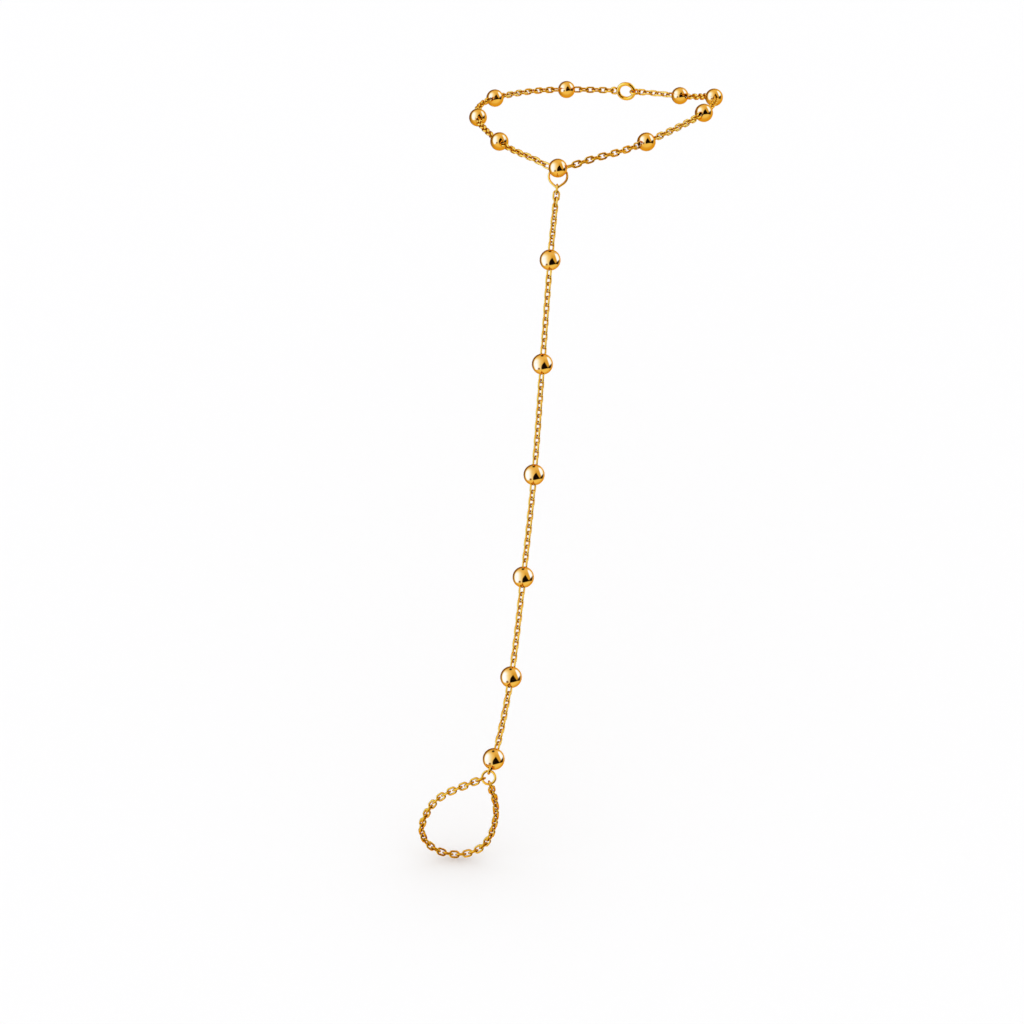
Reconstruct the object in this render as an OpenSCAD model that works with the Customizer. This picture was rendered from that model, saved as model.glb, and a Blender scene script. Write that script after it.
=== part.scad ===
// Foot anklet in polished gold-coloured metal: a beaded cable-chain loop round the ankle,
// a beaded chain down the instep, and a plain chain loop round the second toe.
// Millimetres, +Z up, toes towards -Y, the middle of the ankle loop at the origin.

/* [Beads] */
// Diameter of the beads on the ankle loop
ankle_bead_d = 4.5; // [4.4:0.1:4.6]
// Diameter of the beads on the instep
instep_bead_d = 5.0; // [4.9:0.1:5.1]
// Diameter of the hole drilled at each end of a bead
bead_hole_d = 1.05; // [0.9:0.05:1.1]
// Depth of the hole drilled at each end of a bead
bead_hole_depth = 1.2; // [1:0.1:1.4]
// Height of a soldered end link's middle above the bead's surface
end_link_rise = 0.75; // [0.7:0.01:0.8]

/* [Chain] */
// Wire thickness of a chain link
link_wire = 0.48; // [0.46:0.01:0.48]
// Outer width of a chain link
link_w = 1.82; // [1.82:0.01:1.84]
// Inner length of a chain link
link_inner = 1.82; // [1.81:0.01:1.83]
// Distance from one link of the ankle loop to the next
link_pitch = 1.645; // [1.64:0.001:1.65]
// Inner length of a link of the toe loop
toe_link_inner = 1.66; // [1.66:0.01:1.68]

/* [Rings] */
// Wire thickness of the drop ring and the jump rings
ring_wire = 0.56; // [0.54:0.01:0.56]
// Radius of the round part of the drop ring, to the middle of the wire
drop_ring_r = 2.2; // [2.15:0.05:2.25]
// Radius of the drop ring's lower tip, to the middle of the wire
drop_tip_r = 0.52; // [0.52:0.01:0.54]
// Angle between the drop ring's straight sides and its middle line
drop_half_angle = 51; // [48:1:55]
// Distance of the drop ring's round part below the middle of the centre bead
drop_ring_low = 1.55; // [1.5:0.05:1.6]
// Distance of the drop ring behind the middle of the centre bead
drop_ring_back = 2.0; // [1.95:0.01:2.05]
// Slope of the drop ring below the horizontal
drop_ring_slope = 50; // [48:1:52]
// Radius of the jump ring at the toe, to the middle of the wire
toe_ring_r = 1.5; // [1.45:0.01:1.6]
// Slope of the toe's jump ring below the horizontal
toe_ring_slope = 45; // [40:1:50]
// Height of the middle of the last bead's lower link above the bead's surface
toe_link_rise = 0.15; // [0.1:0.01:0.2]

/* [Clasp] */
// Radius of the clasp, to the middle of its wire
clasp_r = 2.1; // [2:0.05:2.2]
// Wire thickness of the clasp
clasp_wire = 1.0; // [0.9:0.05:1]
// Radius of the clasp's eye, to the middle of its wire
clasp_eye_r = 0.85; // [0.85:0.01:0.9]
// Distance from the middle of the clasp to the middle of its eye
clasp_eye_at = 3.2; // [3.1:0.05:3.3]
// Radius of the end ring that the clasp holds, to the middle of its wire
end_ring_r = 1.25; // [1.25:0.01:1.3]

/* [Hidden] */
$fn = 32;
metal = "gold";
// Clear space between a link and the ring that it hooks into
hook_gap = 0.14;
// How much thicker the wire is where it is soldered
solder = 0.02;
// Openings between two beads on the ankle loop
ankle_openings = 12;
// Beads on each side of the ankle loop
side_beads = 4;
// Loose links between the last bead on a side and the clasp
back_links = 5;
// Openings above each bead of the instep, from the drop ring down, and the distance of their links
//                   links  distance
instep_stretches = [[10,    1.55],
                    [12,    1.69],
                    [13,    1.66],
                    [12,    1.65],
                    [12,    1.64],
                    [10,    1.61]];
// Links of the toe loop
toe_links = 41;
// How far the last link before the clasp leans from its own heading to the clasp's line
right_lean = 0.3;
left_lean = 0.5;
// Turn of one chain link against the next
link_turn = 90;
// Turn of the right ankle chain, and the links before the clasp that take it back
right_turn = 15;
right_turn_links = 3;
// Turn by which the instep chain twists as it leaves the drop ring, and the links that the twist takes
twist = 45;
twist_links = 3;
// Twist along the toe loop, square to the jump ring at both ends
//            link  turn
toe_twists = [[ 0,  -46],
              [ 2,  -31],
              [14,  -31],
              [24,  -45],
              [37,  -45],
              [40,  -24]];

// Places that the ankle loop runs through, from the centre bead to the right and round the heel
//                x      y     z
ankle_route = [[ -3.0, -41.0,   7.0],
               [  5.0, -38.0,   8.5],
               [ 15.0, -30.5,   9.0],
               [ 28.0, -11.0,   8.0],
               [ 30.0,  13.5,   1.0],
               [ 22.0,  32.0,  -8.2],
               [  3.0,  38.5, -11.0],
               [-17.5,  32.5,  -9.5],
               [-29.0,  15.0,  -5.0],
               [-27.0,  -7.0,   0.5],
               [-18.0, -27.0,   5.0],
               [ -9.5, -37.0,   7.0]];

// Places that the instep chain runs through after the tip of the drop ring
//                 x       y      z
instep_places = [[-3.0,  -54.5, -11.0],
                 [-2.5,  -71.0, -29.5],
                 [-2.0,  -88.5, -49.0],
                 [-2.0, -106.5, -65.5],
                 [-2.0, -127.0, -79.5],
                 [-3.3, -146.0, -88.5],
                 [-6.3, -155.0, -92.0]];

// Places that the toe loop runs through between its two holds on the jump ring, from the ring's middle
//             across   up   forward
toe_places = [[ -5.7,  -2.7,  0.0],
              [-10.4,  -5.6,  0.0],
              [-13.4,  -9.3,  0.0],
              [-15.4, -15.2,  0.0],
              [-14.4, -19.6,  0.0],
              [-11.2, -22.5,  0.0],
              [ -6.6, -23.2,  0.0],
              [ -2.5, -21.5,  0.0],
              [  0.1, -17.9,  0.0],
              [  1.5, -12.1,  0.0],
              [  1.5,  -7.3,  0.2],
              [  0.9,  -3.9,  0.6]];
// Turn of the toe loop to the side
toe_yaw = 6;
// Places round the jump ring, from its right, where the two ends of the toe loop hold it
toe_start_angle = 196;
toe_end_angle = -71;

// Steps from one of a route's places to the next, and the reach over which its heading is taken
curve_steps = 24;
heading_reach = 0.4;

// Plain vector and curve functions
function unit(v) = v / norm(v);
function clamp01(x) = min(max(x, 0), 1);
function square_to(v, t) = unit(v - (v * t) * t);

// A place on the smooth curve through the points q, which is closed or goes straight on at its ends
function knot(q, i, closed) =
    let(n = len(q))
    closed ? q[(i + n) % n]
    : i < 0 ? 2 * q[0] - q[1]
    : i >= n ? 2 * q[n - 1] - q[n - 2]
    : q[i];
function curve_place(q, closed, u) =
    let(i = floor(u), t = u - i,
        a = knot(q, i - 1, closed), b = knot(q, i, closed),
        c = knot(q, i + 1, closed), d = knot(q, i + 2, closed))
    0.5 * (2 * b + (c - a) * t + (2 * a - 5 * b + 4 * c - d) * t * t + (3 * b - a - 3 * c + d) * t * t * t);
function curve_points(q, closed) =
    [for (k = [0 : (len(q) - (closed ? 0 : 1)) * curve_steps]) curve_place(q, closed, k / curve_steps)];
function running_length(p) =
    [for (i = 0, s = 0; i < len(p); s = s + norm(p[min(i + 1, len(p) - 1)] - p[i]), i = i + 1) s];

// A route is its length so far with x, y and z, three tables that lookup reads
function route(q, closed) =
    let(p = curve_points(q, closed), s = running_length(p))
    [for (axis = [0 : 2]) [for (i = [0 : len(p) - 1]) [s[i], p[i][axis]]]];
function route_length(r) = r[0][len(r[0]) - 1][0];
function route_place(r, s) = [for (axis = [0 : 2]) lookup(s, r[axis])];
function route_heading(r, s) = unit(route_place(r, s + heading_reach) - route_place(r, s - heading_reach));

// A link's place, heading, side direction and roll; at roll 0 its flat face looks away from the foot
function link_at(r, s, side, roll) = [route_place(r, s), route_heading(r, s), side, roll];

// Link sizes
link_bend = (link_w - link_wire) / 2;
link_reach = (link_inner + link_wire) / 2;
toe_link_reach = (toe_link_inner + link_wire) / 2;
link_hook = link_wire / 2 + ring_wire / 2 + hook_gap;

// Ankle loop
up = [0, 0, 1];
ankle = route(ankle_route, true);
ankle_length = route_length(ankle);
bead_gap = ankle_bead_d + 2 * end_link_rise + (ankle_openings - 1) * link_pitch;
end_link_at = ankle_bead_d / 2 + end_link_rise;
clasp_to_left = clasp_eye_at + clasp_eye_r - link_hook + link_reach;
clasp_to_end_ring = clasp_r - (clasp_wire + ring_wire) / 2 - hook_gap + end_ring_r;
clasp_to_right = clasp_to_end_ring + end_ring_r - link_hook + link_reach;
back_pitch = (ankle_length - 2 * (side_beads * bead_gap + end_link_at) - clasp_to_left - clasp_to_right)
    / (2 * back_links);
back_start = side_beads * ankle_openings + 1;
function back_s(j) = side_beads * bead_gap + end_link_at + j * back_pitch;
clasp_right_end = route_place(ankle, back_s(back_links));
clasp_left_end = route_place(ankle, ankle_length - back_s(back_links));
clasp_heading = unit(clasp_left_end - clasp_right_end);
clasp_side = square_to(up, clasp_heading);
clasp_normal = cross(clasp_heading, clasp_side);
clasp_place = (clasp_right_end + clasp_left_end + (clasp_to_right - clasp_to_left) * clasp_heading) / 2;

// Instep chain
across = [1, 0, 0];
drop_normal = [0, -sin(drop_ring_slope), cos(drop_ring_slope)];
drop_down = [0, -cos(drop_ring_slope), -sin(drop_ring_slope)];
drop_tip_low = drop_ring_low + (drop_ring_r - drop_tip_r) / sin(drop_half_angle);
drop_middle = ankle_route[0] - drop_ring_back * drop_normal;
drop_tip = drop_middle + (drop_tip_low + drop_tip_r) * drop_down;
instep = route(concat([drop_tip], instep_places), false);
first_link_s = link_reach - link_hook;
instep_end_at = instep_bead_d / 2 + end_link_rise;
last_bead = len(instep_stretches) - 1;
function openings_before(k) = k == 0 ? 0 : openings_before(k - 1) + instep_stretches[k - 1][0];
function instep_link_s(k, j) =
    (k == 0 ? first_link_s : instep_bead_s(k - 1) + instep_end_at) + j * instep_stretches[k][1];
function instep_bead_s(k) = instep_link_s(k, instep_stretches[k][0] - 1) + instep_end_at;

// Toe ring and toe loop
toe_link_s = instep_bead_s(last_bead) + instep_bead_d / 2 + toe_link_rise;
toe_hook_place = route_place(instep, toe_link_s + link_reach - link_hook);
toe_ring_down = [0, -cos(toe_ring_slope), -sin(toe_ring_slope)];
toe_ring_normal = [0, -sin(toe_ring_slope), cos(toe_ring_slope)];
toe_ring_place = toe_hook_place + toe_ring_r * toe_ring_down;
toe_across = [cos(toe_yaw), sin(toe_yaw), 0];
toe_forward = cross(toe_across, up);
function toe_hold(angle) =
    toe_ring_place + toe_ring_r * (cos(angle) * across - sin(angle) * toe_ring_down);
toe = route(concat([toe_hold(toe_start_angle)],
                   [for (p = toe_places) toe_ring_place + p[0] * toe_across + p[1] * up + p[2] * toe_forward],
                   [toe_hold(toe_end_angle)]), false);
toe_first_s = toe_link_reach - link_hook;
toe_pitch = (route_length(toe) - 2 * toe_first_s) / (toe_links - 1);

// Places and rolls of the links along each chain
function right_roll(i) =
    link_turn * (i + 1) + right_turn * clamp01((back_start - 1 + back_links - i) / right_turn_links);
function left_roll(i) = link_turn * i;
function instep_roll(i) = link_turn * (i + 1) + twist * clamp01(i / twist_links);
function toe_roll(i) = link_turn * i + lookup(i, toe_twists);

// One link of the chain, lengthwise along X and flat in the XY plane
module link(inner = link_inner) {
    straight = inner + link_wire - 2 * link_bend;
    for (turn = [0, 180])
        rotate([0, 0, turn]) {
            translate([straight / 2, 0, 0])
                rotate([0, 0, -90])
                    rotate_extrude(angle = 180)
                        translate([link_bend, 0])
                            circle(d = link_wire);
            translate([-straight / 2, link_bend, 0])
                rotate([0, 90, 0])
                    cylinder(d = link_wire, h = straight);
        }
}

// Sets its children at a link's place, along its heading and turned by its roll
module set_link(place) {
    t = place[1];
    side = square_to(place[2], t);
    face = cross(t, side);
    z = face * cos(place[3]) + side * sin(place[3]);
    y = cross(z, t);
    set_axes(place[0], t, y, z)
        children();
}

module set_axes(p, x, y, z) {
    multmatrix([[x[0], y[0], z[0], p[0]],
                [x[1], y[1], z[1], p[1]],
                [x[2], y[2], z[2], p[2]],
                [0, 0, 0, 1]])
        children();
}

// A round wire ring, flat in the XY plane
module wire_ring(r, wire) {
    rotate_extrude()
        translate([r, 0])
            circle(d = wire);
}

// A bead drilled at both ends, with an end link soldered across each hole
module bead(centre, d, ends) {
    color(metal)
        union() {
            difference() {
                translate(centre)
                    sphere(d = d);
                for (end = ends)
                    set_link([centre, unit(end[0] - centre), end[2], 0])
                        translate([d / 2 - bead_hole_depth, 0, 0])
                            rotate([0, 90, 0])
                                cylinder(d = bead_hole_d, h = 2 * bead_hole_depth);
            }
            for (end = ends)
                set_link(end)
                    link();
        }
}

// Ankle beads: side is 1 to the right of the centre bead and -1 to the left
module ankle_bead(side, k) {
    s = side > 0 ? k * bead_gap : ankle_length - k * bead_gap;
    i = k * ankle_openings - 1;
    bead(route_place(ankle, s), ankle_bead_d,
         [link_at(ankle, s - side * end_link_at, up, side > 0 ? right_roll(i) : left_roll(i)),
          link_at(ankle, s + side * end_link_at, up, side > 0 ? right_roll(i + 1) : left_roll(i + 1))]);
}

module ankle_bead_right(k) {
    ankle_bead(1, k);
}

module ankle_bead_left(k) {
    ankle_bead(-1, k);
}

// The drop ring: a round ring drawn down to a tip, flat in the XY plane with its tip towards -X
module drop_ring() {
    tip_turn = 90 - drop_half_angle;
    side_length = (drop_ring_r - drop_tip_r) / tan(drop_half_angle);
    rotate([0, 0, -180 + tip_turn])
        rotate_extrude(angle = 360 - 2 * tip_turn)
            translate([drop_ring_r, 0])
                circle(d = ring_wire);
    translate([-(drop_ring_r - drop_tip_r) / sin(drop_half_angle), 0, 0])
        rotate([0, 0, 180 - tip_turn])
            rotate_extrude(angle = 2 * tip_turn)
                translate([drop_tip_r, 0])
                    circle(d = ring_wire);
    for (side = [-1, 1])
        rotate([0, 0, side * (180 - tip_turn)])
            translate([drop_ring_r, 0, 0])
                rotate([-side * 90, 0, 0]) {
                    cylinder(d = ring_wire, h = side_length);
                    for (end = [0, side_length])
                        translate([0, 0, end])
                            sphere(d = ring_wire + solder);
                }
}

// The centre bead, with the drop ring soldered behind it
module centre_bead() {
    bead(ankle_route[0], ankle_bead_d,
         [link_at(ankle, end_link_at, up, right_roll(0)),
          link_at(ankle, ankle_length - end_link_at, up, left_roll(0))]);
    color(metal)
        set_axes(drop_middle + drop_ring_low * drop_down, -drop_down, cross(drop_normal, -drop_down), drop_normal)
            drop_ring();
}

// Ankle chains: loose links between the beads, and from the last bead to the clasp
function between_beads_s(i) =
    let(k = floor(i / ankle_openings)) k * bead_gap + end_link_at + (i - k * ankle_openings) * link_pitch;
function is_loose(i, openings) = i % openings > 0 && i % openings < openings - 1;

module ankle_chain_right() {
    color(metal) {
        for (i = [0 : side_beads * ankle_openings - 1])
            if (is_loose(i, ankle_openings))
                set_link(link_at(ankle, between_beads_s(i), up, right_roll(i)))
                    link();
        for (j = [1 : back_links])
            set_link(back_link(back_s(j), j, right_roll(back_start - 1 + j), right_lean))
                link();
    }
}

module ankle_chain_left() {
    color(metal) {
        for (i = [0 : side_beads * ankle_openings - 1])
            if (is_loose(i, ankle_openings))
                set_link(link_at(ankle, ankle_length - between_beads_s(i), up, left_roll(i)))
                    link();
        for (j = [1 : back_links])
            set_link(back_link(ankle_length - back_s(j), j, left_roll(back_start - 1 + j), left_lean))
                link();
    }
}

// The last link before the clasp leans towards its line
function back_link(s, j, roll, lean) =
    let(h = route_heading(ankle, s))
    [route_place(ankle, s), j == back_links ? unit((1 - lean) * h + lean * clasp_heading) : h, up, roll];

// Instep beads and chain
module instep_bead(k) {
    s = instep_bead_s(k);
    i = openings_before(k + 1) - 1;
    lower = k == last_bead ? link_at(instep, toe_link_s, across, link_turn)
        : link_at(instep, s + instep_end_at, across, instep_roll(i + 1));
    bead(route_place(instep, s), instep_bead_d,
         [link_at(instep, s - instep_end_at, across, instep_roll(i)), lower]);
}

module instep_chain() {
    color(metal)
        for (k = [0 : last_bead])
            for (j = [k == 0 ? 0 : 1 : instep_stretches[k][0] - 2])
                set_link(link_at(instep, instep_link_s(k, j), across, instep_roll(openings_before(k) + j)))
                    link();
}

// The round jump ring between the instep chain and the toe loop
module toe_jump_ring() {
    color(metal)
        set_axes(toe_ring_place, across, cross(toe_ring_normal, across), toe_ring_normal)
            wire_ring(toe_ring_r, ring_wire);
}

module toe_chain() {
    color(metal)
        for (i = [0 : toe_links - 1])
            set_link(link_at(toe, toe_first_s + i * toe_pitch, toe_forward, toe_roll(i)))
                link(toe_link_inner);
}

// The clasp at the heel: a plain ring with its eye, and the end ring that it holds
module clasp() {
    color(metal)
        set_axes(clasp_place, clasp_heading, clasp_side, clasp_normal) {
            rotate([0, 0, 180])
                wire_ring(clasp_r, clasp_wire);
            translate([clasp_eye_at, 0, 0])
                wire_ring(clasp_eye_r, ring_wire);
        }
}

module clasp_end_ring() {
    color(metal)
        set_axes(clasp_place - clasp_to_end_ring * clasp_heading, clasp_heading, -clasp_normal, clasp_side)
            wire_ring(end_ring_r, ring_wire);
}

centre_bead();
for (k = [1 : side_beads]) {
    ankle_bead_right(k);
    ankle_bead_left(k);
}
ankle_chain_right();
ankle_chain_left();
clasp();
clasp_end_ring();
for (k = [0 : last_bead])
    instep_bead(k);
instep_chain();
toe_jump_ring();
toe_chain();
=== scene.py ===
"""The anklet's looks: polished gold beads and fine cable chain in soft studio light.

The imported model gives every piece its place. The ball beads, rings and clasp keep their own
shapes and take a polished finish, and each chain is laid again link by link, finer than it is
packed, along the links of its own node.
"""

import logging
import math
from dataclasses import dataclass, field
from enum import Enum

import bpy
import numpy as np
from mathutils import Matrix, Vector


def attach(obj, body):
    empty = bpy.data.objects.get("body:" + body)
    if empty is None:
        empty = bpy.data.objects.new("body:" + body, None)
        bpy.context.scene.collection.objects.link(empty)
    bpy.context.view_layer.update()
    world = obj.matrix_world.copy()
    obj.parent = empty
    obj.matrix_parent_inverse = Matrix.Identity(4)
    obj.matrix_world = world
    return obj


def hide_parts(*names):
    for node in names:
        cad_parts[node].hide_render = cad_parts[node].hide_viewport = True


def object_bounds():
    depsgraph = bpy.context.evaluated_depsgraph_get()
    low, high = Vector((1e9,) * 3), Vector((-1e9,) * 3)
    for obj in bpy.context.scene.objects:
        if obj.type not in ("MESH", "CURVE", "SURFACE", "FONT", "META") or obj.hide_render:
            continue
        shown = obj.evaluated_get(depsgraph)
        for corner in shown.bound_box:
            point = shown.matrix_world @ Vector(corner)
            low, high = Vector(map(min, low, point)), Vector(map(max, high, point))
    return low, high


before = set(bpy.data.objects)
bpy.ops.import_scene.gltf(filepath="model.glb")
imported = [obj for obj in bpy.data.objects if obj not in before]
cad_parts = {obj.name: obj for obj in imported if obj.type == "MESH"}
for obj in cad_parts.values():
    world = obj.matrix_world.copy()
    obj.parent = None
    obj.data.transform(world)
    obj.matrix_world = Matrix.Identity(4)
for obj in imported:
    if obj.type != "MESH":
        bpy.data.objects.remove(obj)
cad_low, cad_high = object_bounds()

log = logging.getLogger("anklet")
MM = 0.001
Colour = tuple[float, float, float]
Point = tuple[float, float, float]
Place = tuple[float, float]
Span = tuple[float, float]
Tree = bpy.types.NodeTree
Socket = bpy.types.NodeSocket
Value = Socket | float
Tone = tuple[Socket, Socket]


class Slot(Enum):
    """The record's material slots."""

    BEAD = "bead_metal"
    CHAIN = "chain_metal"
    RING = "ring_metal"


def new_node(tree: Tree, kind: str, **settings: object) -> bpy.types.Node:
    """Adds a node to a tree and sets its properties.

    Args:
        tree: The node tree.
        kind: The node's type name.
        **settings: Properties to set on the node.

    Returns:
        The new node.
    """
    node = tree.nodes.new(kind)
    for name, value in settings.items():
        setattr(node, name, value)
    return node


def feed(tree: Tree, value: Value | tuple, socket: Socket) -> None:
    """Links an output socket to an input, or sets the input to a constant.

    Args:
        tree: The node tree.
        value: An output socket, a number or a colour.
        socket: The input that takes it.
    """
    if isinstance(value, Socket):
        tree.links.new(value, socket)
    else:
        socket.default_value = value


def maths(tree: Tree, operation: str, *values: Value) -> Socket:
    """Adds a Math node.

    Args:
        tree: The node tree.
        operation: The node's operation.
        *values: Sockets or numbers, in the node's order.

    Returns:
        The node's output.
    """
    node = new_node(tree, "ShaderNodeMath", operation=operation)
    for value, socket in zip(values, node.inputs):
        feed(tree, value, socket)
    return node.outputs[0]


def dot(tree: Tree, vector: Socket, axis: Vector) -> Socket:
    """Adds the dot product of a vector with a fixed axis and returns its output."""
    node = new_node(tree, "ShaderNodeVectorMath", operation="DOT_PRODUCT")
    tree.links.new(vector, node.inputs[0])
    node.inputs[1].default_value = axis
    return node.outputs["Value"]


def smooth(tree: Tree, value: Socket, low: float, high: float) -> Socket:
    """Adds a smooth step that goes from 0 at low to 1 at high.

    Args:
        tree: The node tree.
        value: The socket that steps.
        low: The value at which the step starts.
        high: The value at which it ends, which may be below low.

    Returns:
        The step's output.
    """
    node = new_node(tree, "ShaderNodeMapRange", interpolation_type="SMOOTHSTEP")
    if high < low:
        value, low, high = maths(tree, "MULTIPLY", value, -1.0), -low, -high
    tree.links.new(value, node.inputs["Value"])
    node.inputs["From Min"].default_value = low
    node.inputs["From Max"].default_value = high
    return node.outputs["Result"]


def blend(tree: Tree, mask: Socket, low: Socket | Colour, high: Socket | Colour) -> Socket:
    """Adds a mix of two colours.

    Args:
        tree: The node tree.
        mask: The socket that is 0 for the first colour and 1 for the second.
        low: The first colour, or its socket.
        high: The second colour, or its socket.

    Returns:
        The mixed colour's output.
    """
    node = new_node(tree, "ShaderNodeMix", data_type="RGBA")
    tree.links.new(mask, node.inputs["Factor"])
    for value, name in ((low, "A"), (high, "B")):
        feed(tree, value if isinstance(value, Socket) else (*value, 1.0), node.inputs[name])
    return node.outputs["Result"]


def distance(tree: Tree, x: Socket, y: Socket, middle: Place) -> Socket:
    """Adds the distance of a place in a plane from a fixed middle.

    Args:
        tree: The node tree.
        x: The place across.
        y: The place up.
        middle: The fixed middle.

    Returns:
        The distance's output.
    """
    off = [maths(tree, "SUBTRACT", at, mid) for at, mid in zip((x, y), middle)]
    squares = [maths(tree, "MULTIPLY", part, part) for part in off]
    return maths(tree, "SQRT", maths(tree, "ADD", *squares))


def axis_inputs(name: str, vector: Vector | np.ndarray) -> dict[str, float]:
    """Names a vector's three parts as a group's inputs.

    Args:
        name: What the inputs' names start with.
        vector: The vector.

    Returns:
        Each input's name and value.
    """
    return {f"{name}_{axis}": float(part) for axis, part in zip("XYZ", vector)}


@dataclass(frozen=True)
class PhotoCamera:
    """The camera, at the photograph's angle and distance."""

    azimuth: float = 8.1
    elevation: float = 34.7
    place: Point = (0.06992, -0.63063, 0.31909)
    lens: float = 98.70
    sensor: float = 36.0

    def axes(self) -> tuple[Vector, Vector, Vector]:
        """Returns the camera's right, up and back directions."""
        a, e = math.radians(self.azimuth), math.radians(self.elevation)
        right = Vector((math.cos(a), math.sin(a), 0.0))
        back = Vector((math.sin(a) * math.cos(e), -math.cos(a) * math.cos(e), math.sin(e)))
        return right, back.cross(right), back

    def build(self) -> bpy.types.Object:
        """Makes the camera and gives it to the scene.

        Returns:
            The camera object.
        """
        data = bpy.data.cameras.new("photo_camera")
        data.lens = self.lens
        data.sensor_width = self.sensor
        data.sensor_fit = "AUTO"
        camera = bpy.data.objects.new("photo_camera", data)
        camera.location = self.place
        _, _, back = self.axes()
        camera.rotation_euler = back.to_track_quat("Z", "Y").to_euler()
        bpy.context.scene.collection.objects.link(camera)
        bpy.context.scene.camera = camera
        return camera


@dataclass(frozen=True)
class Edge:
    """A straight edge of a patch, seen in the ball's disc.

    Places are shares of the ball's radius, across and up from its middle, as the camera sees it.
    The patch lies to the left of the way from start to end.
    """

    start: Place
    end: Place
    blur: float = 0.04


@dataclass(frozen=True)
class Patch:
    """One part of the studio as a polished ball shows it: an area in the ball's disc.

    It ends at its edges and at a circle round its middle. A patch with a glow goes over to the glow
    first, and from the core on to its light.
    """

    light: Colour
    edges: tuple[Edge, ...] = ()
    glow: Colour | None = None
    core: float = 0.50
    middle: Place = (0.0, 0.0)
    reach: float = 1.2
    reach_blur: float = 0.06


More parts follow.
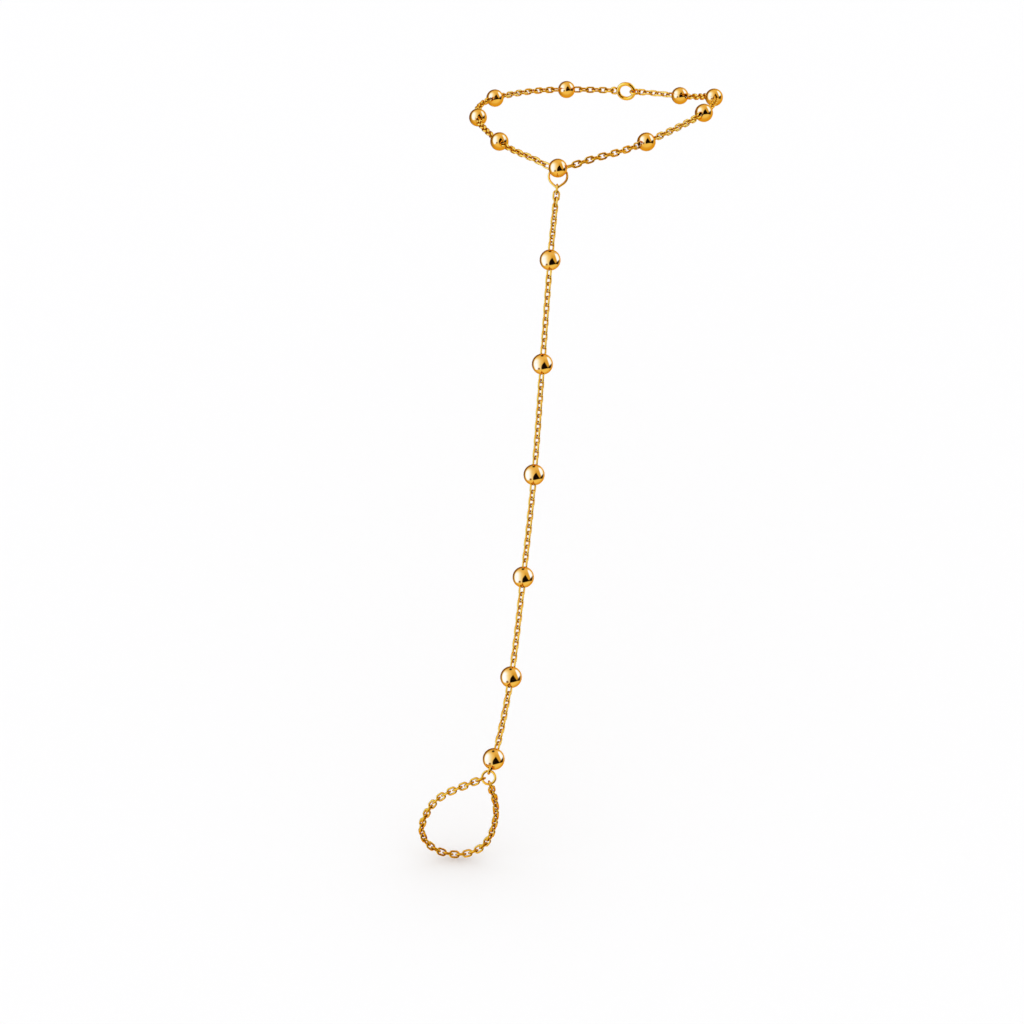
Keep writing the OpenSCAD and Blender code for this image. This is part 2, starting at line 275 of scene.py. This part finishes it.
@dataclass(frozen=True)
class Studio:
    """Soft studio light, a pale floor, and what polished metal reflects of them.

    The two soft lights are bluer than the gold is yellow, so that the metal shows them white. A span
    says where a change starts and ends, as shares of the ball's radius.
    """

    camera: PhotoCamera = field(default_factory=PhotoCamera)
    floor_half: float = 3.0
    floor_gap: float = 0.8 * MM
    floor_colour: Colour = (0.86, 0.858, 0.862)
    floor_roughness: float = 0.9
    floor_shine: float = 0.0
    backdrop: Colour = (0.985, 0.98, 0.98)
    fill_light: float = 1.45
    room_left: Colour = (0.92, 1.05, 1.40)
    room_right: Colour = (0.72, 0.65, 0.32)
    room_span: Span = (-0.1, 0.2)
    ceiling: Colour = (0.86, 0.87, 0.80)
    ceiling_span: Span = (0.25, 0.6)
    ground: Colour = (0.94, 1.02, 0.85)
    ground_low: Colour = (0.66, 0.56, 0.30)
    ground_span: Span = (0.70, 0.98)
    horizon: float = -0.515
    horizon_blur: float = 0.035
    horizon_rise: float = 0.15
    horizon_span: Span = (-0.15, 0.75)
    rim: Colour = (0.82, 0.64, 0.26)
    rim_span: Span = (0.80, 0.91)
    rim_strength: float = 0.6
    rim_dark: Colour = (0.20, 0.11, 0.025)
    rim_dark_towards: Place = (-0.8, 0.6)
    rim_dark_span: Span = (-0.3, 0.9)
    rim_dark_strength: float = 0.35
    soft_light: Colour = (1.06, 2.02, 11.0)
    left_glow: Colour = (1.00, 1.50, 4.10)
    right_glow: Colour = (0.92, 1.08, 1.50)
    gap: Colour = (0.006, 0.004, 0.003)
    far_gap: Colour = (0.04, 0.025, 0.012)
    swirl: Colour = (0.26, 0.17, 0.06)
    left_edges: tuple[Edge, ...] = (
        Edge((-0.31, -0.6), (-0.34, 0.70), 0.275),
        Edge((0.0, 0.5), (-1.0, 0.5), 0.25),
    )
    right_edges: tuple[Edge, ...] = (
        Edge((0.38, 0.66), (0.64, -0.05), 0.05),
        Edge((0.9, 0.76), (0.3, 0.68), 0.12),
    )
    gap_edges: tuple[Edge, ...] = (
        Edge((0.18, 0.20), (-0.04, -0.06), 0.035),
        Edge((-0.04, -0.06), (-0.12, -0.32)),
        Edge((-0.12, -0.32), (-0.08, -0.54)),
        Edge((0.53, -0.32), (0.21, 0.20)),
    )
    far_gap_edges: tuple[Edge, ...] = (Edge((0.92, 0.20), (0.52, -0.30), 0.06),)

    def patches(self) -> tuple[Patch, ...]:
        """Returns the lights and dark gaps above the horizon, each laid over those before it."""
        left = Patch(self.soft_light, self.left_edges, self.left_glow, core=0.43, reach=0.81, reach_blur=0.04)
        right = Patch(self.soft_light, self.right_edges, self.right_glow, reach=0.91, reach_blur=0.07)
        far_gap = Patch(self.far_gap, self.far_gap_edges, reach=0.89, reach_blur=0.03)
        gap = Patch(self.gap, self.gap_edges)
        swirl = Patch(self.swirl, middle=(-0.33, -0.45), reach=0.11)
        return left, right, far_gap, gap, swirl

    def build(self) -> None:
        """Makes the floor and the light."""
        self.make_floor()
        self.make_world()

    def make_floor(self) -> None:
        """Makes the pale floor just below the lowest piece."""
        height = cad_low.z - self.floor_gap
        half = self.floor_half
        corners = [(-half, -half, height), (half, -half, height), (half, half, height), (-half, half, height)]
        mesh = bpy.data.meshes.new("floor")
        mesh.from_pydata(corners, [], [(0, 1, 2, 3)])
        floor = bpy.data.objects.new("floor", mesh)
        bpy.context.scene.collection.objects.link(floor)
        floor.visible_glossy = False
        material = bpy.data.materials.new("pale_floor")
        material.use_nodes = True
        shader = material.node_tree.nodes["Principled BSDF"]
        shader.inputs["Base Color"].default_value = (*self.floor_colour, 1.0)
        shader.inputs["Roughness"].default_value = self.floor_roughness
        shader.inputs["Specular IOR Level"].default_value = self.floor_shine
        mesh.materials.append(material)

    def patch_mask(self, tree: Tree, patch: Patch, x: Socket, y: Socket) -> Socket:
        """Draws one patch in the ball's disc.

        Args:
            tree: The world's node tree.
            patch: The patch.
            x: The place across the disc.
            y: The place up the disc.

        Returns:
            A mask that is 1 inside the patch.
        """
        out = distance(tree, x, y, patch.middle)
        mask = smooth(tree, out, patch.reach + patch.reach_blur, patch.reach - patch.reach_blur)
        for edge in patch.edges:
            run, rise = edge.end[0] - edge.start[0], edge.end[1] - edge.start[1]
            length = math.hypot(run, rise)
            up_part = maths(tree, "MULTIPLY", maths(tree, "SUBTRACT", y, edge.start[1]), run / length)
            across_part = maths(tree, "MULTIPLY", maths(tree, "SUBTRACT", x, edge.start[0]), rise / length)
            side = maths(tree, "SUBTRACT", up_part, across_part)
            mask = maths(tree, "MULTIPLY", mask, smooth(tree, side, -edge.blur, edge.blur))
        return mask

    def reflected(self, tree: Tree, x: Socket, y: Socket) -> Socket:
        """Draws the studio that polished metal reflects, in the ball's disc.

        Args:
            tree: The world's node tree.
            x: The place across the disc.
            y: The place up the disc.

        Returns:
            The colour's output.
        """
        out = distance(tree, x, y, (0.0, 0.0))
        room = blend(tree, smooth(tree, x, *self.room_span), self.room_left, self.room_right)
        sky = blend(tree, smooth(tree, y, *self.ceiling_span), room, self.ceiling)
        for patch in self.patches():
            mask = self.patch_mask(tree, patch, x, y)
            if patch.glow:
                sky = blend(tree, maths(tree, "DIVIDE", mask, patch.core), sky, patch.glow)
                mask = maths(tree, "DIVIDE", maths(tree, "SUBTRACT", mask, patch.core), 1 - patch.core)
            sky = blend(tree, mask, sky, patch.light)
        ground = blend(tree, smooth(tree, out, *self.ground_span), self.ground, self.ground_low)
        rise = maths(tree, "MULTIPLY", smooth(tree, x, *self.horizon_span), self.horizon_rise)
        above = maths(tree, "SUBTRACT", maths(tree, "SUBTRACT", y, rise), self.horizon)
        colour = blend(tree, smooth(tree, above, -self.horizon_blur, self.horizon_blur), ground, sky)
        turned = [maths(tree, "MULTIPLY", at, part) for at, part in zip((x, y), self.rim_dark_towards)]
        dark_side = smooth(tree, maths(tree, "ADD", *turned), *self.rim_dark_span)
        rim = blend(tree, dark_side, self.rim, self.rim_dark)
        darker = maths(tree, "MULTIPLY", dark_side, self.rim_dark_strength)
        strength = maths(tree, "ADD", darker, self.rim_strength)
        mask = maths(tree, "MULTIPLY", smooth(tree, out, *self.rim_span), strength)
        return blend(tree, mask, colour, rim)

    def make_world(self) -> None:
        """Makes the world: a pale backdrop, even fill light, and the studio that metal reflects."""
        world = bpy.data.worlds.new("studio")
        bpy.context.scene.world = world
        world.use_nodes = True
        tree = world.node_tree
        tree.nodes.clear()
        right, up, back = self.camera.axes()
        direction = new_node(tree, "ShaderNodeTexCoord").outputs["Generated"]
        total = new_node(tree, "ShaderNodeVectorMath", operation="ADD")
        tree.links.new(direction, total.inputs[0])
        total.inputs[1].default_value = back
        half_way = new_node(tree, "ShaderNodeVectorMath", operation="NORMALIZE")
        tree.links.new(total.outputs[0], half_way.inputs[0])
        x, y = (dot(tree, half_way.outputs[0], axis) for axis in (right, up))
        seen_by_metal = self.reflected(tree, x, y)

        seen, fill, mirror = (new_node(tree, "ShaderNodeBackground") for _ in range(3))
        seen.inputs["Color"].default_value = (*self.backdrop, 1.0)
        fill.inputs["Strength"].default_value = self.fill_light
        tree.links.new(seen_by_metal, mirror.inputs["Color"])
        paths = new_node(tree, "ShaderNodeLightPath")
        light = fill
        for ray, other in (("Is Glossy Ray", mirror), ("Is Camera Ray", seen)):
            mix = new_node(tree, "ShaderNodeMixShader")
            tree.links.new(paths.outputs[ray], mix.inputs[0])
            tree.links.new(light.outputs[0], mix.inputs[1])
            tree.links.new(other.outputs[0], mix.inputs[2])
            light = mix
        output = new_node(tree, "ShaderNodeOutputWorld")
        tree.links.new(light.outputs[0], output.inputs["Surface"])


class Group:
    """A shader node group with named inputs and outputs, built once."""

    def __init__(self, name: str, inputs: dict[str, float], outputs: dict[str, str]) -> None:
        """Makes the empty group.

        Args:
            name: The group's name.
            inputs: Each input's name and default value.
            outputs: Each output's name and its kind, Float or Vector.
        """
        self.tree = bpy.data.node_groups.new(name, "ShaderNodeTree")
        for text, value in inputs.items():
            socket = self.tree.interface.new_socket(text, in_out="INPUT", socket_type="NodeSocketFloat")
            socket.default_value = value
        for text, kind in outputs.items():
            self.tree.interface.new_socket(text, in_out="OUTPUT", socket_type="NodeSocket" + kind)
        self.entry = new_node(self.tree, "NodeGroupInput")
        self.exit = new_node(self.tree, "NodeGroupOutput")

    def place(self, tree: Tree, **values: float) -> bpy.types.Node:
        """Places the group in a material.

        Args:
            tree: The material's node tree.
            **values: Inputs by name, with underscores for spaces.

        Returns:
            The group node.
        """
        node = new_node(tree, "ShaderNodeGroup", node_tree=self.tree)
        for name, value in values.items():
            node.inputs[name.replace("_", " ")].default_value = value
        return node


class PolishMarks(Group):
    """Fine polishing marks and broader clouds that change over the metal."""

    DETAIL = {"Marks": 3.0, "Cloud": 1.5}

    def __init__(self) -> None:
        """Builds the group."""
        sizes = {"Marks Size": 2200.0, "Cloud Size": 700.0}
        super().__init__("polish_marks", sizes, dict.fromkeys(self.DETAIL, "Float"))
        tree = self.tree
        place = new_node(tree, "ShaderNodeTexCoord").outputs["Object"]
        for name, detail in self.DETAIL.items():
            noise = new_node(tree, "ShaderNodeTexNoise", noise_dimensions="3D")
            noise.inputs["Detail"].default_value = detail
            tree.links.new(place, noise.inputs["Vector"])
            tree.links.new(self.entry.outputs[name + " Size"], noise.inputs["Scale"])
            tree.links.new(noise.outputs["Fac"], self.exit.inputs[name])


class CreviceShading(Group):
    """Painted shade where metal lies close to other metal: 0 in the open and 1 deep between two parts."""

    SAMPLES = 8

    def __init__(self) -> None:
        """Builds the group."""
        super().__init__("crevice_shading", {"Reach": 0.6 * MM, "Open": 0.80, "Shut": 0.30}, {"Shade": "Float"})
        tree = self.tree
        # Ambient occlusion gives painted shade where other metal lies near.
        near = new_node(tree, "ShaderNodeAmbientOcclusion", samples=self.SAMPLES)
        tree.links.new(self.entry.outputs["Reach"], near.inputs["Distance"])
        step = new_node(tree, "ShaderNodeMapRange", interpolation_type="SMOOTHSTEP")
        tree.links.new(near.outputs["AO"], step.inputs["Value"])
        tree.links.new(self.entry.outputs["Shut"], step.inputs["From Min"])
        tree.links.new(self.entry.outputs["Open"], step.inputs["From Max"])
        tree.links.new(maths(tree, "SUBTRACT", 1.0, step.outputs["Result"]), self.exit.inputs["Shade"])


class OffBall(Group):
    """Where a point lies off a ball: 0 on the ball and 1 on the wire that is soldered to it."""

    STEP = (0.4, 1.0)

    def __init__(self) -> None:
        """Builds the group."""
        sizes = {"Centre X": 0.0, "Centre Y": 0.0, "Centre Z": 0.0, "Radius": 2.5 * MM, "Edge": 0.04 * MM}
        super().__init__("off_ball", sizes, {"Wire": "Float"})
        tree = self.tree
        place = new_node(tree, "ShaderNodeTexCoord").outputs["Object"]
        centre = new_node(tree, "ShaderNodeCombineXYZ")
        for axis in "XYZ":
            tree.links.new(self.entry.outputs["Centre " + axis], centre.inputs[axis])
        gap = new_node(tree, "ShaderNodeVectorMath", operation="DISTANCE")
        tree.links.new(place, gap.inputs[0])
        tree.links.new(centre.outputs[0], gap.inputs[1])
        off = maths(tree, "SUBTRACT", gap.outputs["Value"], self.entry.outputs["Radius"])
        share = maths(tree, "DIVIDE", off, self.entry.outputs["Edge"])
        tree.links.new(smooth(tree, share, *self.STEP), self.exit.inputs["Wire"])


class Lean(Group):
    """The surface's direction, leant a little, so that a ball shows the studio from its own place."""

    def __init__(self) -> None:
        """Builds the group."""
        super().__init__("lean", {"Lean X": 0.0, "Lean Y": 0.0, "Lean Z": 0.0}, {"Direction": "Vector"})
        tree = self.tree
        lean = new_node(tree, "ShaderNodeCombineXYZ")
        for axis in "XYZ":
            tree.links.new(self.entry.outputs["Lean " + axis], lean.inputs[axis])
        total = new_node(tree, "ShaderNodeVectorMath", operation="ADD")
        tree.links.new(new_node(tree, "ShaderNodeNewGeometry").outputs["Normal"], total.inputs[0])
        tree.links.new(lean.outputs[0], total.inputs[1])
        unit = new_node(tree, "ShaderNodeVectorMath", operation="NORMALIZE")
        tree.links.new(total.outputs[0], unit.inputs[0])
        tree.links.new(unit.outputs[0], self.exit.inputs["Direction"])


@dataclass(frozen=True)
class Effects:
    """The node groups that every finish shares."""

    marks: PolishMarks
    crevice_shading: CreviceShading
    off_ball: OffBall
    lean: Lean


@dataclass(frozen=True)
class Gold:
    """One tone of polished gold: its colour in the open, where it thins, and the painted shade where parts
    lie close.
    """

    colour: Colour
    thin: Colour
    crevice_shade: Colour
    roughness: float


# The third colour of each tone is painted shade, laid where parts lie close.
BALL_GOLD = Gold((0.97, 0.50, 0.09), (0.93, 0.46, 0.07), (0.10, 0.035, 0.004), 0.035)
# The ankle beads' tone is a slightly deeper copy of the ball gold: painted shade for their darker
# reflections.
SHADED_ANKLE_BALL_GOLD = Gold((0.97, 0.49, 0.08), (0.93, 0.45, 0.065), (0.10, 0.035, 0.004), 0.035)
WIRE_GOLD = Gold((0.97, 0.46, 0.028), (0.90, 0.39, 0.022), (0.21, 0.05, 0.003), 0.085)
# The toe chain's tone is a darker copy of the wire gold: painted shade, as if it lay in the shade of toes.
TOE_SHADED_GOLD = Gold((0.87, 0.36, 0.012), (0.78, 0.30, 0.010), (0.18, 0.045, 0.002), 0.10)


@dataclass(frozen=True)
class Spot:
    """A small dark spot on a ball, where the light doesn't reach under its end link."""

    across: float = -0.04
    up: float = 0.76
    size: float = 0.47 * MM
    colour: Colour = (0.05, 0.02, 0.004)

    def place(self, middle: np.ndarray, radius: float, camera: PhotoCamera) -> Vector:
        """Works out where the spot lies on a ball.

        Args:
            middle: The ball's middle.
            radius: The ball's radius.
            camera: The camera that the spot's place is given for.

        Returns:
            The place.
        """
        right, up, back = camera.axes()
        towards = math.sqrt(1 - self.across ** 2 - self.up ** 2)
        return Vector(middle) + (right * self.across + up * self.up + back * towards) * radius


@dataclass(frozen=True)
class Ball:
    """A bead's ball: its middle, its radius, the lean of its reflection, and the place of its spot."""

    middle: np.ndarray
    radius: float
    lean: Vector
    spot: Spot | None = None
    spot_place: Vector | None = None


@dataclass(frozen=True)
class Finish:
    """Polished gold with fine marks, warmer patches and painted shade where parts lie close.

    A ball's finish turns to the wire's tone on its end links.
    """

    name: str
    gold: Gold = WIRE_GOLD
    ball: Ball | None = None
    rough_change: float = 0.06
    mark_height: float = 0.02 * MM
    mark_strength: float = 0.25
    marks_size: float = 2200.0
    cloud_size: float = 700.0
    cloud_span: Span = (0.45, 0.8)
    # How far from other metal the painted shade reaches.
    crevice_shade_reach: float = 0.6 * MM
    edge_tint: Colour = (1.0, 0.75, 0.30)

    def build(self, effects: Effects) -> bpy.types.Material:
        """Makes the material.

        Args:
            effects: The shared node groups.

        Returns:
            The material.
        """
        material = bpy.data.materials.new(self.name)
        material.use_nodes = True
        tree = material.node_tree
        shader = tree.nodes["Principled BSDF"]
        shader.inputs["Metallic"].default_value = 1.0
        shader.inputs["Specular Tint"].default_value = (*self.edge_tint, 1.0)
        polish = effects.marks.place(tree, Marks_Size=self.marks_size, Cloud_Size=self.cloud_size)
        # The mask of painted shade where parts lie close.
        crevice_shade = effects.crevice_shading.place(tree, Reach=self.crevice_shade_reach).outputs["Shade"]
        cloud = smooth(tree, polish.outputs["Cloud"], *self.cloud_span)
        tone = self.tone(tree, self.gold, cloud, crevice_shade)
        bump = new_node(tree, "ShaderNodeBump")
        bump.inputs["Strength"].default_value = self.mark_strength
        bump.inputs["Distance"].default_value = self.mark_height
        tree.links.new(polish.outputs["Marks"], bump.inputs["Height"])
        if self.ball:
            tone = self.with_wire(tree, effects, tone, self.tone(tree, WIRE_GOLD, cloud, crevice_shade))
            lean = effects.lean.place(tree, **axis_inputs("Lean", self.ball.lean))
            tree.links.new(lean.outputs["Direction"], bump.inputs["Normal"])
        for output, name in zip((*tone, bump.outputs["Normal"]), ("Base Color", "Roughness", "Normal")):
            tree.links.new(output, shader.inputs[name])
        return material

    def with_wire(self, tree: Tree, effects: Effects, ball_tone: Tone, wire_tone: Tone) -> Tone:
        """Lays the spot on the ball, and the wire's tone on its end links.

        Args:
            tree: The material's node tree.
            effects: The shared node groups.
            ball_tone: The ball's colour and roughness.
            wire_tone: The wire's colour and roughness.

        Returns:
            The outputs of the colour and of the roughness.
        """
        colour, rough = ball_tone
        off_ball = effects.off_ball
        middle = axis_inputs("Centre", self.ball.middle)
        wire = off_ball.place(tree, **middle, Radius=self.ball.radius).outputs["Wire"]
        if self.ball.spot:
            place = axis_inputs("Centre", self.ball.spot_place)
            clear = off_ball.place(tree, **place, Radius=0.0, Edge=self.ball.spot.size).outputs["Wire"]
            colour = blend(tree, clear, self.ball.spot.colour, colour)
        change = maths(tree, "MULTIPLY", maths(tree, "SUBTRACT", wire_tone[1], rough), wire)
        return blend(tree, wire, colour, wire_tone[0]), maths(tree, "ADD", rough, change)

    def tone(self, tree: Tree, gold: Gold, cloud: Socket, crevice_shade: Socket) -> Tone:
        """Lays one tone of gold.

        Args:
            tree: The material's node tree.
            gold: The tone.
            cloud: The mask where the polish thins.
            crevice_shade: The mask of the painted shade where parts lie close.

        Returns:
            The outputs of the colour and of the roughness.
        """
        # Painted shade: the gold darkens towards its shade colour where parts lie close.
        colour = blend(tree, crevice_shade, blend(tree, cloud, gold.colour, gold.thin), gold.crevice_shade)
        rough = maths(tree, "ADD", maths(tree, "MULTIPLY", cloud, self.rough_change), gold.roughness)
        return colour, rough


def loose_parts(mesh: bpy.types.Mesh) -> list[tuple[np.ndarray, np.ndarray]]:
    """Splits a mesh into the pieces that don't touch each other.

    Args:
        mesh: A closed mesh, whose faces may repeat their shared corners.

    Returns:
        For each piece, its corner places and its triangles.
    """
    mesh.calc_loop_triangles()
    places = np.empty(len(mesh.vertices) * 3)
    mesh.vertices.foreach_get("co", places)
    corners = np.empty(len(mesh.loop_triangles) * 3, dtype=np.int64)
    mesh.loop_triangles.foreach_get("vertices", corners)
    places, same = np.unique(places.reshape(-1, 3), axis=0, return_inverse=True)
    triangles = same.reshape(-1)[corners].reshape(-1, 3)
    label = np.arange(len(places))
    while True:
        lowest = label[triangles].min(axis=1)
        new = label.copy()
        np.minimum.at(new, triangles, lowest[:, None])
        new = new[new]
        if (new == label).all():
            break
        label = new
    owner = label[triangles[:, 0]]
    return [(places, triangles[owner == part]) for part in np.unique(owner)]


@dataclass(frozen=True)
class LinkPlace:
    """Where one link lies: its middle, its lengthwise direction and its flat face."""

    middle: np.ndarray
    along: np.ndarray
    face: np.ndarray

    @classmethod
    def of(cls, places: np.ndarray, triangles: np.ndarray) -> "LinkPlace":
        """Finds a link's place from its mesh.

        Args:
            places: The corner places.
            triangles: The link's triangles.

        Returns:
            The link's place.
        """
        a, b, c = (places[triangles[:, k]] for k in range(3))
        area = np.linalg.norm(np.cross(b - a, c - a), axis=1)
        centre = (a + b + c) / 3
        middle = (centre * area[:, None]).sum(axis=0) / area.sum()
        off = centre - middle
        _, axes = np.linalg.eigh((off * area[:, None]).T @ off)
        return cls(middle, axes[:, 2], axes[:, 0])


@dataclass(frozen=True)
class CableLink:
    """One link of cable chain: round wire bent to a long ring, with a soldered seam."""

    wire: float = 0.48 * MM
    width: float = 1.82 * MM
    inner_length: float = 1.82 * MM
    ring_sides: int = 16
    bend_steps: int = 14
    side_steps: int = 6
    seam_swell: float = 0.02 * MM
    seam_length: float = 0.22 * MM

    def centre_line(self) -> tuple[np.ndarray, np.ndarray, np.ndarray]:
        """Works out the wire's centre line, flat in the XY plane and lengthwise along X.

        Returns:
            The places, the outward directions, and the swell of the wire at each place.
        """
        bend = (self.width - self.wire) / 2
        half = (self.inner_length + self.wire) / 2 - bend
        places, outward = [], []
        for side in (1, -1):
            for k in range(self.bend_steps + 1):
                a = math.pi * (k / self.bend_steps - 0.5)
                outward.append((side * math.cos(a), side * math.sin(a), 0.0))
                places.append((side * (half + bend * math.cos(a)), side * bend * math.sin(a), 0.0))
            for k in range(1, self.side_steps):
                outward.append((0.0, side, 0.0))
                places.append((side * half * (1 - 2 * k / self.side_steps), side * bend, 0.0))
        line = np.array(places)
        seam = np.exp(-((line[:, 0] / self.seam_length) ** 2)) * (line[:, 1] < 0)
        return line, np.array(outward), self.seam_swell * seam

    def shape(self) -> tuple[np.ndarray, np.ndarray]:
        """Makes the link's mesh.

        Returns:
            Its corner places and its four-sided faces.
        """
        line, outward, swell = self.centre_line()
        turn = np.linspace(0.0, 2 * math.pi, self.ring_sides, endpoint=False)
        radius = self.wire / 2 + swell
        flat = outward[:, None] * np.cos(turn)[None, :, None]
        ring = flat + np.array((0.0, 0.0, 1.0)) * np.sin(turn)[None, :, None]
        places = line[:, None] + ring * radius[:, None, None]
        n, m = len(line), self.ring_sides
        i, j = np.meshgrid(np.arange(n), np.arange(m), indexing="ij")
        corner = [(i, j), ((i + 1) % n, j), ((i + 1) % n, (j + 1) % m), (i, (j + 1) % m)]
        faces = np.stack([a * m + b for a, b in corner], axis=-1).reshape(-1, 4)
        return places.reshape(-1, 3), faces


def joined_mesh(name: str, places: np.ndarray, faces: np.ndarray) -> bpy.types.Object:
    """Makes a smooth mesh object.

    Args:
        name: The object's name.
        places: The corner places, in metres.
        faces: The four-sided faces.

    Returns:
        The object, linked to the scene.
    """
    mesh = bpy.data.meshes.new(name)
    mesh.from_pydata(places.tolist(), [], faces.tolist())
    mesh.polygons.foreach_set("use_smooth", np.ones(len(faces), dtype=bool))
    mesh.update()
    piece = bpy.data.objects.new(name, mesh)
    bpy.context.scene.collection.objects.link(piece)
    return piece


@dataclass(frozen=True)
class Chain:
    """A cable chain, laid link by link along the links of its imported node."""

    node: str
    link: CableLink = field(default_factory=CableLink)

    def build(self, finish: bpy.types.Material) -> bpy.types.Object:
        """Lays the chain in place of its node.

        Args:
            finish: The chain's material.

        Returns:
            The chain.
        """
        link_places, link_faces = self.link.shape()
        places, faces = [], []
        found = [LinkPlace.of(*part) for part in loose_parts(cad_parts[self.node].data)]
        for count, spot in enumerate(found):
            axes = np.stack([spot.along, np.cross(spot.face, spot.along), spot.face])
            places.append(link_places @ axes + spot.middle)
            faces.append(link_faces + count * len(link_places))
        chain = joined_mesh("fine_" + self.node, np.concatenate(places), np.concatenate(faces))
        chain.data.materials.append(finish)
        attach(chain, "root")
        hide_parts(self.node)
        log.info("%s: %d links", chain.name, len(found))
        return chain


def put_on(node: str, slot: Slot, material: bpy.types.Material) -> None:
    """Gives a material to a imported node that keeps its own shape.

    Args:
        node: The node's name.
        slot: The record's slot that the node has.
        material: Its material.
    """
    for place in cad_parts[node].material_slots:
        place.material = material
    log.info("%s: %s in the slot %s", node, material.name, slot.value)


@dataclass(frozen=True)
class BallBead:
    """A ball bead with an end link soldered across each of its holes.

    The drop turns its reflection down, and the pull draws it together towards the ball's middle. The
    rounds and the band are those of the search for that middle.
    """

    node: str
    diameter: float
    drop: float = 0.0
    pull: float = 0.0
    gold: Gold = SHADED_ANKLE_BALL_GOLD
    spot: Spot | None = None
    # How far round the end links the bead's painted shade reaches.
    crevice_shade_reach: float = 1.0 * MM
    rounds: int = 4
    band: float = 0.2 * MM

    def middle(self) -> np.ndarray:
        """Finds the ball's middle: the place that most of the surface faces away from, a radius off.

        Returns:
            The middle.
        """
        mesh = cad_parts[self.node].data
        middles, facing, area = (np.empty(len(mesh.polygons) * width) for width in (3, 3, 1))
        mesh.polygons.foreach_get("center", middles)
        mesh.polygons.foreach_get("normal", facing)
        mesh.polygons.foreach_get("area", area)
        votes = middles.reshape(-1, 3) - facing.reshape(-1, 3) * self.diameter / 2
        found = np.empty(3)
        for axis in range(3):
            order = np.argsort(votes[:, axis])
            half = np.searchsorted(np.cumsum(area[order]), area.sum() / 2)
            found[axis] = votes[order[half], axis]
        for _ in range(self.rounds):
            near = np.linalg.norm(votes - found, axis=1) < self.band
            found = np.average(votes[near], axis=0, weights=area[near])
        return found

    def dress(self, effects: Effects, camera: PhotoCamera) -> None:
        """Polishes the bead.

        Args:
            effects: The shared node groups.
            camera: The camera, which the bead's reflection is leant towards.
        """
        middle = self.middle()
        _, up, back = camera.axes()
        sight = (Vector(camera.place) - Vector(middle)).normalized()
        lean = (back - sight) / 2 - up * self.drop - back * self.pull
        radius = self.diameter / 2
        spot_place = self.spot.place(middle, radius, camera) if self.spot else None
        ball = Ball(middle, radius, lean, self.spot, spot_place)
        finish = Finish("gold_" + self.node, self.gold, ball, crevice_shade_reach=self.crevice_shade_reach)
        put_on(self.node, Slot.BEAD, finish.build(effects))


@dataclass(frozen=True)
class Findings:
    """The clasp, its end ring and the jump ring at the toe."""

    nodes: tuple[str, ...] = ("clasp", "clasp_end_ring", "toe_jump_ring")

    def dress(self, effects: Effects) -> None:
        """Polishes the findings.

        Args:
            effects: The shared node groups.
        """
        material = Finish("ring_gold").build(effects)
        for node in self.nodes:
            put_on(node, Slot.RING, material)


@dataclass(frozen=True)
class Anklet:
    """The whole anklet: beads, chains and findings."""

    camera: PhotoCamera
    ankle_bead: float = 4.5 * MM
    instep_bead: float = 5.0 * MM
    ankle_drop: float = 0.24
    ankle_pull: float = 0.22
    centre_drop: float = 0.125
    centre_pull: float = 0.12
    toe_link: CableLink = field(default_factory=lambda: CableLink(inner_length=1.66 * MM))
    beaded_chains: tuple[str, ...] = ("ankle_chain_right", "ankle_chain_left", "instep_chain")

    def beads(self) -> list[BallBead]:
        """Returns every bead with its size and the way that its reflection is set."""
        beads = []
        for node in sorted(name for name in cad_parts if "bead" in name):
            if "instep" in node:
                beads.append(BallBead(node, self.instep_bead, gold=BALL_GOLD, spot=Spot()))
            elif "centre" in node:
                beads.append(BallBead(node, self.ankle_bead, self.centre_drop, self.centre_pull))
            else:
                beads.append(BallBead(node, self.ankle_bead, self.ankle_drop, self.ankle_pull))
        return beads

    def build(self) -> None:
        """Lays the chains and polishes every piece."""
        effects = Effects(PolishMarks(), CreviceShading(), OffBall(), Lean())
        for bead in self.beads():
            bead.dress(effects, self.camera)
        Findings().dress(effects)
        chain_gold = Finish("chain_gold").build(effects)
        for node in self.beaded_chains:
            Chain(node).build(chain_gold)
        # The toe chain takes the darker copy of the gold: painted shade.
        Chain("toe_chain", self.toe_link).build(Finish("toe_shaded_gold", TOE_SHADED_GOLD).build(effects))


def main() -> None:
    """Builds the camera, the studio and every piece's looks."""
    logging.basicConfig(level=logging.INFO, format="%(name)s %(message)s")
    bpy.context.scene.view_settings.view_transform = "Standard"
    camera = PhotoCamera()
    camera.build()
    Studio(camera=camera).build()
    Anklet(camera).build()


if __name__ == "__main__":
    main()
